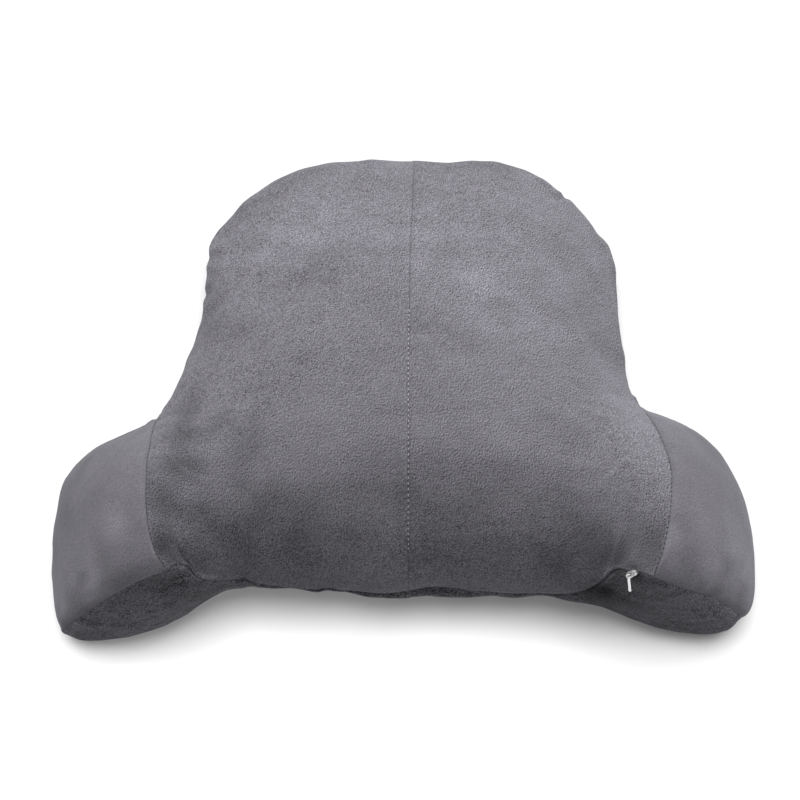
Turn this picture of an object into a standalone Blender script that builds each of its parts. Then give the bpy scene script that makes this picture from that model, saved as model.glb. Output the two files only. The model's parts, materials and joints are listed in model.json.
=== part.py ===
# Reading pillow with arms: a plush back cushion with a domed top and two side arms, stuffed
# through one cover, lying on its back panel. +X runs across to the arm with the zip slider,
# +Y towards the domed top, +Z out of the face that the sitter leans on.

import math
from collections import namedtuple

import bmesh
import bpy
import numpy as np
from mathutils import Matrix, Vector
from mathutils.bvhtree import BVHTree

CM = 0.01
MM = 0.001

# Mesh: how finely the sewn panels are divided. The same counts meet at each shared seam.
HALF_ACROSS = 14  # faces from an arm to the centre seam
ARM_ALONG = 14  # faces from the bottom corner of an arm up to the neck
DOME_ALONG = 14  # faces from the neck up to the shoulder of the dome
GUSSET_ACROSS = 8  # faces over the thickness of the base and of the arm ends
EDGE_CROWDING = 0.55  # how far the faces crowd towards the seams: 0 not at all, 1 fully

# Stuffing: how the panels swell between their seams.
DOME_PLUMPNESS = 2.4  # power of the swell from the outline in to the centre seam
ARM_SHOULDER = 1.6  # power of the rounding of the arm's front
ARM_SHOULDER_LOW = 1.0  # the same at its bottom corner, where it is creased
ARM_SHOULDER_END = 0.40  # how far up the panel the crease is gone
ARM_FALL = 2.7  # power of the arm's fall to the belly
SEAM_GRIP = 3.8  # power at which the pull of the bottom and top seams dies away
ARM_END_CROWN = 1.2 * CM
ARM_END_ROUNDNESS = 0.4  # power of the crown: the lower, the flatter with rounder edges
ARM_END_FULLEST = 0.75  # power that brings the fullest line nearer to the lower edge
ARM_END_FADE = 0.6  # how much of its length the crown needs to fade away to the neck
BASE_ROUNDNESS = 0.5
BASE_FULLEST = 0.8  # power that brings the fullest line of the base nearer to the front
BACK_ROUNDING = 4.6 * CM  # width of the rolled edge between the outline and the flat back
EASING = 12  # times that the points of a panel are evened out near the top of the dome
EASING_POWER = 5.0  # power at which that dies away from the top down
BACK_EASING = 20
BACK_EASING_POWER = 0.0
LINE_STEPS = 24  # straight steps between two points of a seam
RIM_STEPS = 9  # points between two of the back's rim, when its distance is taken
SEWN_WITHIN = 0.05 * MM  # points of two panels this near are one

SeamPoint = namedtuple("SeamPoint", "across along up")
BaseCrown = namedtuple("BaseCrown", "across rise")
Dip = namedtuple("Dip", "across along reach_across reach_along depth")

# The seams, in centimetres, as the stuffed cover lies on its back. A pair is listed from the
# corner at the bottom of the arm's front edge, where the front, the base and the arm end meet.
ARM_SEAM_LEFT = [
    SeamPoint(-18.6, 0.2, 17.4),
    SeamPoint(-19.4, 1.5, 18.5),
    SeamPoint(-19.9, 3.2, 19.0),
    SeamPoint(-20.2, 5.1, 18.7),
    SeamPoint(-20.3, 7.3, 17.9),
    SeamPoint(-20.4, 9.1, 16.5),
    SeamPoint(-20.4, 11.0, 14.4),
    SeamPoint(-20.5, 12.7, 11.4),
    SeamPoint(-20.4, 14.2, 7.8),
]
ARM_SEAM_RIGHT = [
    SeamPoint(19.8, -0.4, 17.4),
    SeamPoint(20.5, 1.4, 18.5),
    SeamPoint(20.9, 3.5, 19.0),
    SeamPoint(21.2, 5.9, 18.7),
    SeamPoint(21.4, 8.2, 17.9),
    SeamPoint(21.2, 10.0, 16.6),
    SeamPoint(20.9, 11.8, 14.6),
    SeamPoint(20.5, 13.4, 11.8),
    SeamPoint(19.9, 15.3, 8.0),
]
FRONT_BOTTOM_LEFT = [
    SeamPoint(-18.6, 0.2, 17.4),
    SeamPoint(-17.8, 0.8, 16.6),
    SeamPoint(-17.1, 0.8, 15.5),
    SeamPoint(-16.5, 0.2, 14.4),
    SeamPoint(-15.2, 0.0, 12.7),
    SeamPoint(-13.3, 0.1, 10.8),
    SeamPoint(-11.0, -0.3, 9.7),
    SeamPoint(-7.4, -0.4, 9.0),
    SeamPoint(-4.3, -0.6, 8.6),
    SeamPoint(-1.6, -0.8, 8.5),
    SeamPoint(0.5, -0.5, 8.5),
]
FRONT_BOTTOM_RIGHT = [
    SeamPoint(19.8, -0.4, 17.4),
    SeamPoint(18.9, 0.0, 16.7),
    SeamPoint(18.0, 0.3, 16.0),
    SeamPoint(17.3, 0.7, 15.0),
    SeamPoint(16.6, 0.5, 13.9),
    SeamPoint(15.8, -0.2, 12.3),
    SeamPoint(14.1, -0.8, 10.7),
    SeamPoint(11.5, -0.9, 9.5),
    SeamPoint(8.1, -0.8, 8.8),
    SeamPoint(5.4, -0.4, 8.6),
    SeamPoint(2.6, -0.1, 8.5),
    SeamPoint(0.5, -0.5, 8.5),
]
CENTRE_SEAM = [
    SeamPoint(0.5, -0.5, 8.5),
    SeamPoint(0.5, 0.0, 10.6),
    SeamPoint(0.5, 1.2, 12.9),
    SeamPoint(0.5, 3.2, 15.0),
    SeamPoint(0.5, 6.0, 16.5),
    SeamPoint(0.5, 9.5, 17.1),
    SeamPoint(0.5, 13.5, 16.9),
    SeamPoint(0.5, 18.0, 15.9),
    SeamPoint(0.6, 23.0, 14.2),
    SeamPoint(0.7, 28.0, 12.0),
    SeamPoint(0.9, 32.5, 9.4),
    SeamPoint(1.0, 35.9, 7.0),
    SeamPoint(1.1, 38.2, 4.5),
]
DOME_SIDE_LEFT = [
    SeamPoint(-20.4, 14.2, 7.8),
    SeamPoint(-19.2, 17.7, 6.6),
    SeamPoint(-18.1, 20.8, 6.0),
    SeamPoint(-17.3, 24.1, 5.6),
    SeamPoint(-17.2, 27.6, 5.2),
    SeamPoint(-16.9, 30.6, 4.8),
    SeamPoint(-15.3, 32.9, 4.5),
    SeamPoint(-13.2, 34.4, 4.5),
]
DOME_SIDE_RIGHT = [
    SeamPoint(19.9, 15.3, 8.0),
    SeamPoint(19.3, 17.9, 6.8),
    SeamPoint(19.1, 20.8, 6.1),
    SeamPoint(19.0, 24.0, 5.7),
    SeamPoint(18.9, 27.4, 5.3),
    SeamPoint(17.9, 30.8, 4.8),
    SeamPoint(15.4, 33.5, 4.5),
    SeamPoint(13.2, 34.95, 4.5),
]
DOME_TOP_LEFT = [
    SeamPoint(-13.2, 34.4, 4.5),
    SeamPoint(-11.0, 35.8, 4.5),
    SeamPoint(-8.7, 36.9, 4.5),
    SeamPoint(-5.4, 38.1, 4.5),
    SeamPoint(-1.9, 38.4, 4.5),
    SeamPoint(1.1, 38.2, 4.5),
]
DOME_TOP_RIGHT = [
    SeamPoint(13.2, 34.95, 4.5),
    SeamPoint(11.6, 36.3, 4.5),
    SeamPoint(9.7, 37.6, 4.5),
    SeamPoint(6.9, 38.3, 4.5),
    SeamPoint(4.2, 38.3, 4.5),
    SeamPoint(1.1, 38.2, 4.5),
]
ARM_UNDER_LEFT = [
    SeamPoint(-18.6, 0.2, 17.4),
    SeamPoint(-21.8, -0.8, 15.0),
    SeamPoint(-25.2, -2.0, 10.6),
    SeamPoint(-27.7, -3.0, 6.4),
    SeamPoint(-28.9, -3.3, 3.2),
]
ARM_UNDER_RIGHT = [
    SeamPoint(19.8, -0.4, 17.4),
    SeamPoint(22.6, -0.9, 15.2),
    SeamPoint(25.8, -1.4, 11.0),
    SeamPoint(28.0, -2.1, 6.6),
    SeamPoint(28.6, -2.2, 3.2),
]
ARM_OUTER_LEFT = [
    SeamPoint(-28.9, -3.3, 3.2),
    SeamPoint(-29.3, -1.6, 3.2),
    SeamPoint(-29.4, 1.0, 3.2),
    SeamPoint(-29.2, 6.4, 3.5),
    SeamPoint(-28.6, 9.5, 3.8),
    SeamPoint(-26.8, 11.9, 4.4),
    SeamPoint(-23.7, 13.0, 5.5),
    SeamPoint(-20.4, 14.2, 7.8),
]
ARM_OUTER_RIGHT = [
    SeamPoint(28.6, -2.2, 3.2),
    SeamPoint(29.1, -1.2, 3.2),
    SeamPoint(29.1, 1.4, 3.2),
    SeamPoint(28.8, 7.0, 3.5),
    SeamPoint(27.9, 10.3, 3.8),
    SeamPoint(25.9, 12.9, 4.5),
    SeamPoint(23.1, 14.3, 5.7),
    SeamPoint(19.9, 15.3, 8.0),
]
BACK_BOTTOM = [
    SeamPoint(-28.9, -3.3, 3.2),
    SeamPoint(-27.5, -3.7, 3.0),
    SeamPoint(-25.6, -3.7, 2.9),
    SeamPoint(-23.0, -3.2, 2.8),
    SeamPoint(-20.0, -2.2, 2.7),
    SeamPoint(-17.0, 0.1, 2.6),
    SeamPoint(-14.5, 1.8, 2.6),
    SeamPoint(-11.5, 2.2, 2.6),
    SeamPoint(-8.0, 1.9, 2.6),
    SeamPoint(-4.0, 1.2, 2.6),
    SeamPoint(0.5, 0.7, 2.6),
    SeamPoint(5.0, 0.6, 2.6),
    SeamPoint(10.0, 1.0, 2.6),
    SeamPoint(14.0, 1.1, 2.6),
    SeamPoint(17.0, -0.5, 2.6),
    SeamPoint(20.0, -2.1, 2.7),
    SeamPoint(23.0, -3.0, 2.8),
    SeamPoint(26.0, -3.2, 2.9),
    SeamPoint(27.6, -2.9, 3.0),
    SeamPoint(28.6, -2.2, 3.2),
]

# How far the base bulges out, in centimetres, at points across it.
BASE_CROWNS = [
    BaseCrown(-29, 2.4),
    BaseCrown(-25, 2.2),
    BaseCrown(-20, 1.4),
    BaseCrown(-16.5, 0.5),
    BaseCrown(-13, 0.1),
    BaseCrown(-9, 0.2),
    BaseCrown(-4, 0.4),
    BaseCrown(0, 0.7),
    BaseCrown(4, 0.9),
    BaseCrown(8, 0.5),
    BaseCrown(12, 0.3),
    BaseCrown(16, 0.8),
    BaseCrown(20, 1.6),
    BaseCrown(25, 2.0),
    BaseCrown(29, 2.0),
]

# Dips of the face, in centimetres: the folds between the belly and the arms.
FACE_DIPS = [
    Dip(-14.8, 1.0, 3.4, 4.0, 0.6),
    Dip(15.0, 1.0, 3.4, 4.0, 0.8),
]
FULL_DIP_UP = 12.0 * CM  # height from which a dip has its full depth: none on the back

# The zip's slider and pull, in millimetres, drawn lying flat: x along the zip's seam, and the
# pull hanging down its own -y from the middle of its eye.
ZIP_ACROSS = 18.4 * CM  # where the slider sits on the base, under the front's bottom seam
ZIP_UP = 16.1 * CM
ZIP_FACES = (-0.3, -0.78, 0.55)  # the way that the cloth faces there
ZIP_SEAM_RISE_DEG = 47.0  # slope of that seam there, seen from the base
SEATING_GAP = 0.5 * MM
SEATED_FROM = 10 * CM  # distance from which the pieces come down onto the cloth
BELOW_PILLOW = -1.0  # a place on the base side of the whole pillow, in metres
SLIDER_OUTLINE = [(-4.6, -1.6), (-3.6, -2.4), (1.4, -2.4), (4.6, -1.3)]
SLIDER_THICKNESS = 2.2
BRIDGE_OUTSIDE = [(-3.4, 1.6), (-3.4, 4.8), (-2.8, 5.4), (1.6, 5.4), (2.2, 4.8), (2.2, 1.6)]
BRIDGE_INSIDE = [(1.2, 1.6), (1.2, 4.4), (-2.4, 4.4), (-2.4, 1.6)]
BRIDGE_WIDTH = 1.1
EYE_RADIUS = 2.3
EYE_HOLE_RADIUS = 1.3
TONGUE_HALF_WIDTH = 1.1
TONGUE_LENGTH = 18.5
TONGUE_TIP_CUT = 0.5
PULL_THICKNESS = 0.9
PULL_ABOVE_SLIDER = 0.7
PULL_SWING_DEG = -31.0  # turns the pull from square to the seam to hanging straight
PULL_LEAN_DEG = 4.0  # how far the pull leans in to the cloth below the slider
HARDWARE_BEVEL = 0.2
EYE_SIDES = 20


def crowded(count):
    """Fractions from 0 to 1 in count steps, closer together near both ends."""
    steps = np.linspace(0.0, 1.0, count + 1)
    return steps - EDGE_CROWDING * np.sin(2 * np.pi * steps) / (2 * np.pi)


def smooth_line(rows, fractions):
    """Points at the given fractions of the length of a smooth curve through the rows."""
    knots = np.array(rows, float) * CM
    ends = 2 * knots[[0, -1]] - knots[[1, -2]]
    knots = np.vstack([ends[:1], knots, ends[1:]])
    t = np.linspace(0.0, 1.0, LINE_STEPS, endpoint=False)[:, None]
    fine = []
    for a, b, c, d in zip(knots, knots[1:], knots[2:], knots[3:]):
        fine.append(
            0.5 * (2 * b + (c - a) * t + (2 * a - 5 * b + 4 * c - d) * t**2
                   + (3 * b - 3 * c + d - a) * t**3)
        )
    fine = np.vstack(fine + [knots[-2:-1]])
    run = np.concatenate([[0.0], np.cumsum(np.linalg.norm(np.diff(fine, axis=0), axis=1))])
    wanted = np.asarray(fractions) * run[-1]
    return np.column_stack([np.interp(wanted, run, fine[:, k]) for k in range(3)])


def panel(bottom, top, left, right, across, along, stuffed=False):
    """Cloth stretched between four seams, as rows of points from bottom to top. Stuffing
    lifts it quickly from its ends, swells it inwards from a low side and rounds a high one."""
    flat = np.broadcast_to(across, (len(along), len(across)))
    swollen = 1 - (1 - flat) ** DOME_PLUMPNESS
    creased = np.clip(1 - along / ARM_SHOULDER_END, 0, 1)[:, None]
    shoulder = ARM_SHOULDER + (ARM_SHOULDER_LOW - ARM_SHOULDER) * creased
    rounded = 1 - (1 - flat**shoulder) ** ARM_FALL
    full = np.where(left[:, None, 2] < right[:, None, 2], swollen, rounded)
    sheet = np.zeros((len(along), len(across), 3))
    for k in range(3):
        u = full if stuffed and k > 0 else flat
        grip = SEAM_GRIP if stuffed and k == 2 else 1.0
        sides = (1 - u) * left[:, k, None] + u * right[:, k, None]
        lower = (1 - along[:, None]) ** grip
        upper = along[:, None] ** grip
        sheet[:, :, k] = (
            sides + lower * (bottom[None, :, k] - sides[:1]) + upper * (top[None, :, k] - sides[-1:])
        )
    return sheet


def eased(sheet, along, power, times):
    """A panel with its points evened out in plan, mostly towards its top, where the dome's
    corners are blunt."""
    ease = along[1:-1, None, None] ** power
    for _ in range(times):
        near = sheet[:-2, 1:-1, :2] + sheet[2:, 1:-1, :2] + sheet[1:-1, :-2, :2] + sheet[1:-1, 2:, :2]
        sheet[1:-1, 1:-1, :2] += ease * (near / 4 - sheet[1:-1, 1:-1, :2])
    return sheet


def crown(sheet, across, along, rise, power):
    """Pushes a panel out along its own normals, most in the middle and not at its seams."""
    over_u, over_v = np.gradient(sheet, axis=1), np.gradient(sheet, axis=0)
    normals = np.cross(over_u, over_v)
    normals /= np.maximum(np.linalg.norm(normals, axis=2, keepdims=True), 1e-9)
    hump = (4 * across * (1 - across))[None, :] * (4 * along * (1 - along))[:, None]
    return sheet + normals * (np.clip(hump, 0, 1) ** power * rise)[:, :, None]


def settle_on_back(sheet):
    """Rolls the back panel down from its seams to the surface it lies on, where it is flat."""
    rim = np.vstack([sheet[0], sheet[1:, -1], sheet[-1, ::-1], sheet[::-1, 0]])
    rim = np.vstack([rim[:-1] * (1 - t) + rim[1:] * t for t in np.linspace(0.0, 1.0, RIM_STEPS)])
    for row in sheet[1:-1]:
        for point in row[1:-1]:
            inset = np.min(np.linalg.norm(rim[:, :2] - point[:2], axis=1))
            share = min(inset / BACK_ROUNDING, 1.0)
            point[2] *= 1 - math.sqrt(1 - (1 - share) ** 2)
    return sheet


def sew(mesh, sheet):
    """Adds a panel's points and faces, from a plain grid whose corners take their places."""
    rows, columns = sheet.shape[:2]
    made = bmesh.ops.create_grid(mesh, x_segments=columns - 1, y_segments=rows - 1, size=1.0)
    for vertex in made["verts"]:
        column = round((vertex.co.x + 1) / 2 * (columns - 1))
        row = round((vertex.co.y + 1) / 2 * (rows - 1))
        vertex.co = sheet[row, column]


def pillow_panels():
    """Every panel of the cover as an array of points, with its name."""
    across = crowded(HALF_ACROSS)
    whole = np.concatenate([across / 2, 1 - across[-2::-1] / 2])
    along = crowded(ARM_ALONG + DOME_ALONG)
    neck = along[ARM_ALONG]
    up_arm = along[: ARM_ALONG + 1] / neck
    up_dome = (along[ARM_ALONG:] - neck) / (1 - neck)
    over = crowded(GUSSET_ACROSS)
    centre = smooth_line(CENTRE_SEAM, along)
    panels, bottoms, tops, outers, unders = {}, {}, {}, {}, {}
    for side, seam, dome, low, high, outer, under in (
        ("left", ARM_SEAM_LEFT, DOME_SIDE_LEFT, FRONT_BOTTOM_LEFT, DOME_TOP_LEFT,
         ARM_OUTER_LEFT, ARM_UNDER_LEFT),
        ("right", ARM_SEAM_RIGHT, DOME_SIDE_RIGHT, FRONT_BOTTOM_RIGHT, DOME_TOP_RIGHT,
         ARM_OUTER_RIGHT, ARM_UNDER_RIGHT),
    ):
        arm = smooth_line(seam, up_arm)
        flank = smooth_line(dome, up_dome)
        edge = np.vstack([arm, flank[1:]])
        bottoms[side] = smooth_line(low, across)
        tops[side] = smooth_line(high, across)
        front = panel(bottoms[side], tops[side], edge, centre, across, along, stuffed=True)
        panels["front_" + side] = eased(front, along, EASING_POWER, EASING)
        rim = smooth_line(outer, up_arm)
        unders[side] = smooth_line(under, over)
        tip = np.repeat(arm[-1:], len(over), axis=0)
        arm_end = panel(unders[side], tip, arm, rim, over, up_arm)
        outward = -1 if side == "left" else 1
        rise = outward * ARM_END_CROWN * np.clip((1 - up_arm) / ARM_END_FADE, 0, 1)[:, None]
        panels["arm_end_" + side] = crown(
            arm_end, over, up_arm**ARM_END_FULLEST, rise, ARM_END_ROUNDNESS
        )
        outers[side] = np.vstack([rim, flank[1:]])
    front_edge = np.vstack([bottoms["left"], bottoms["right"][-2::-1]])
    back_edge = smooth_line(BACK_BOTTOM, whole)
    base = panel(front_edge, back_edge, unders["left"], unders["right"], whole, over)
    crowns = [SeamPoint(crowned.across, crowned.rise, 0.0) for crowned in BASE_CROWNS]
    crowns = smooth_line(crowns, np.linspace(0.0, 1.0, len(whole)))
    fullness = np.interp((front_edge[:, 0] + back_edge[:, 0]) / 2, crowns[:, 0], crowns[:, 1])
    panels["base"] = crown(base, whole, over**BASE_FULLEST, -fullness[None, :], BASE_ROUNDNESS)
    top_edge = np.vstack([tops["left"], tops["right"][-2::-1]])
    back = panel(back_edge, top_edge, outers["left"], outers["right"], whole, along)
    panels["back"] = settle_on_back(eased(back, along, BACK_EASING_POWER, BACK_EASING))
    return panels


def dipped(point):
    """A point of the cover, with the folds of the face."""
    depth = 0.0
    for dip in FACE_DIPS:
        off_across = (point[0] / CM - dip.across) / dip.reach_across
        off_along = (point[1] / CM - dip.along) / dip.reach_along
        depth += dip.depth * CM * math.exp(-(off_across**2) - off_along**2)
    return Vector((point[0], point[1], point[2] - depth * min(point[2] / FULL_DIP_UP, 1.0)))


def pillow_mesh():
    """The closed skin of the pillow, on its back, where its pattern was drawn."""
    mesh = bmesh.new()
    for sheet in pillow_panels().values():
        sew(mesh, sheet)
    for vertex in mesh.verts:
        vertex.co = dipped(vertex.co)
    bmesh.ops.remove_doubles(mesh, verts=mesh.verts, dist=SEWN_WITHIN)
    bmesh.ops.recalc_face_normals(mesh, faces=mesh.faces)
    return mesh


def slab(outline, low, high):
    """A flat piece in millimetres: the outline, going round to the left, from low to high."""
    mesh = bmesh.new()
    bottom = mesh.faces.new([mesh.verts.new((x, y, low)) for x, y in outline])
    raised = bmesh.ops.extrude_face_region(mesh, geom=[bottom])["geom"]
    for item in raised:
        if isinstance(item, bmesh.types.BMVert):
            item.co.z = high
    bmesh.ops.recalc_face_normals(mesh, faces=mesh.faces)
    return mesh


def bevelled(mesh):
    edges = [e for e in mesh.edges if e.calc_face_angle(0.0) > math.radians(30.0)]
    bmesh.ops.bevel(
        mesh, geom=edges, offset=HARDWARE_BEVEL, segments=2, profile=0.5, affect="EDGES",
        material=-1, clamp_overlap=True,
    )
    return mesh


def combined(mesh, other, operation):
    """Two closed meshes joined or cut, as one closed mesh."""
    holders = []
    for part in (mesh, other):
        data = bpy.data.meshes.new("cut")
        part.to_mesh(data)
        part.free()
        holders.append(bpy.data.objects.new("cut", data))
        bpy.context.scene.collection.objects.link(holders[-1])
    cut = holders[0].modifiers.new("cut", "BOOLEAN")
    cut.operation, cut.solver, cut.object = operation, "EXACT", holders[1]
    result = bmesh.new()
    result.from_object(holders[0], bpy.context.evaluated_depsgraph_get())
    for holder in holders:
        bpy.data.objects.remove(holder, do_unlink=True)
    return result


def slider_mesh():
    """A slider with a bridge over it for the pull, lying in its own frame."""
    far_side = [(x, -y) for x, y in reversed(SLIDER_OUTLINE)]
    body = bevelled(slab(SLIDER_OUTLINE + far_side, 0.0, SLIDER_THICKNESS))
    bridge = slab((BRIDGE_OUTSIDE + BRIDGE_INSIDE)[::-1], -BRIDGE_WIDTH / 2, BRIDGE_WIDTH / 2)
    bridge = bevelled(bridge)
    bridge.transform(Matrix.Rotation(math.radians(90.0), 4, "X"))
    return combined(body, bridge, "UNION")


def pull_mesh():
    """A flat pull, with a round eye at the origin and its tongue towards -y."""
    start = math.asin(TONGUE_HALF_WIDTH / EYE_RADIUS)
    turns = np.linspace(start, 2 * math.pi - start, EYE_SIDES) - math.pi / 2
    outline = [(EYE_RADIUS * math.cos(a), EYE_RADIUS * math.sin(a)) for a in turns]
    half, cut = TONGUE_HALF_WIDTH, TONGUE_TIP_CUT
    outline += [(-half, cut - TONGUE_LENGTH), (cut - half, -TONGUE_LENGTH)]
    outline += [(half - cut, -TONGUE_LENGTH), (half, cut - TONGUE_LENGTH)]
    plate = slab(outline, 0.0, PULL_THICKNESS)
    hole_turns = np.linspace(0.0, 2 * math.pi, EYE_SIDES, endpoint=False)
    circle = [(EYE_HOLE_RADIUS * math.cos(a), EYE_HOLE_RADIUS * math.sin(a)) for a in hole_turns]
    hole = slab(circle, -PULL_THICKNESS, 2 * PULL_THICKNESS)
    return bevelled(combined(plate, hole, "DIFFERENCE"))


def seat_of_slider(skin, pieces):
    """The frame of the slider on the base, as near to the cloth as all its pieces can come."""
    outward = Vector(ZIP_FACES).normalized()
    rise = math.radians(ZIP_SEAM_RISE_DEG)
    along = Vector((math.cos(rise), 0.0, math.sin(rise)))
    along = (along - along.project(outward)).normalized()
    seat = Matrix((along, outward.cross(along), outward)).transposed().to_4x4()
    tree = BVHTree.FromBMesh(skin)
    onto = tree.ray_cast(Vector((ZIP_ACROSS, BELOW_PILLOW, ZIP_UP)), Vector((0.0, 1.0, 0.0)))[0]
    seat.translation = onto + outward * SEATED_FROM
    seat @= Matrix.Scale(MM, 4)
    clear = min(
        tree.ray_cast(seat @ vertex.co, -outward)[3] for piece in pieces for vertex in piece.verts
    )
    return Matrix.Translation(-outward * (clear - SEATING_GAP)) @ seat


def material(name, colour, roughness, metallic=0.0):
    made = bpy.data.materials.new(name)
    made.use_nodes = True
    shader = made.node_tree.nodes["Principled BSDF"]
    shader.inputs["Base Color"].default_value = (*colour, 1.0)
    shader.inputs["Roughness"].default_value = roughness
    shader.inputs["Metallic"].default_value = metallic
    made.diffuse_color = (*colour, 1.0)
    return made


def add_object(name, mesh, finish, crease_deg):
    data = bpy.data.meshes.new(name)
    mesh.to_mesh(data)
    mesh.free()
    data.materials.append(finish)
    data.shade_smooth()
    data.set_sharp_from_angle(angle=math.radians(crease_deg))
    made = bpy.data.objects.new(name, data)
    bpy.context.scene.collection.objects.link(made)


for stale in list(bpy.data.objects):
    bpy.data.objects.remove(stale, do_unlink=True)

pillow = pillow_mesh()
slider = slider_mesh()

# The eye goes round the lower leg of the bridge, and the tongue hangs straight down.
pull = pull_mesh()
leg = ((BRIDGE_OUTSIDE[0][0] + BRIDGE_INSIDE[-1][0]) / 2, 0.0, SLIDER_THICKNESS + PULL_ABOVE_SLIDER)
swing = Matrix.Rotation(math.radians(PULL_SWING_DEG), 4, "Z")
lean = Matrix.Rotation(math.radians(PULL_LEAN_DEG), 4, "X")
pull.transform(Matrix.Translation(leg) @ swing @ lean)

seat = seat_of_slider(pillow, [slider, pull])
corners = np.array([vertex.co for vertex in pillow.verts])
middle = (corners.min(axis=0) + corners.max(axis=0)) / 2
to_origin = Matrix.Translation((-middle[0], -middle[1], 0.0))
pillow.transform(to_origin)
slider.transform(to_origin @ seat)
pull.transform(to_origin @ seat)
add_object("pillow", pillow, material("plush", (0.19, 0.185, 0.205), 0.9), 25.0)
add_object("zip_slider", slider, material("zip_metal", (0.78, 0.78, 0.76), 0.3, 1.0), 30.0)
add_object("zip_pull", pull, material("pull_metal", (0.78, 0.78, 0.76), 0.3, 1.0), 30.0)
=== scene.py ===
import json
import math

import bmesh
import bpy
import numpy as np
from mathutils import Matrix, Vector, noise
from mathutils.kdtree import KDTree

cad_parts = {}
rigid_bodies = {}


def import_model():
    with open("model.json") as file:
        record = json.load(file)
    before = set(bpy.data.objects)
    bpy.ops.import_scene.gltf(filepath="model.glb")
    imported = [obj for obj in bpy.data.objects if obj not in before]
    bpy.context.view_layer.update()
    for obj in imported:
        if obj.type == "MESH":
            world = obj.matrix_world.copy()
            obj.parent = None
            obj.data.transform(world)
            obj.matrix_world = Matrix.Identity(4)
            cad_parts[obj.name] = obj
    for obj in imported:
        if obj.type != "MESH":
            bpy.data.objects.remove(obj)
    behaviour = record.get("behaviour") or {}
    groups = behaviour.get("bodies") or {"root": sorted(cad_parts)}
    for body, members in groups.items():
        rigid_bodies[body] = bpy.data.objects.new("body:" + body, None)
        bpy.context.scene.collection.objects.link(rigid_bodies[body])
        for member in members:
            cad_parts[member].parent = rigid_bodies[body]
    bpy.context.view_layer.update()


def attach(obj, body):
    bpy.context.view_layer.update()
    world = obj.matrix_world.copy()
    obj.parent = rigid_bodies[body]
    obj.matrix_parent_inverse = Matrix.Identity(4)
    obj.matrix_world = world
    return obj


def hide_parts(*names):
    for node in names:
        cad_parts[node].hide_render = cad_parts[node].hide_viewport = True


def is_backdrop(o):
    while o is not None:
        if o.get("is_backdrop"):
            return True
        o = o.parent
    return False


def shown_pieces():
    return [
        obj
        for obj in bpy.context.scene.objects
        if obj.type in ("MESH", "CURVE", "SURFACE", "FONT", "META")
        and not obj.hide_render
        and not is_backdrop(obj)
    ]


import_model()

cm = 0.01
mm = 0.001
tiny = 1e-9  # the least that a length is divided by
patternMiddle = np.array([-0.000506, 0.172507, 0.0])  # of the cut pattern, which the frame puts at its origin

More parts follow.
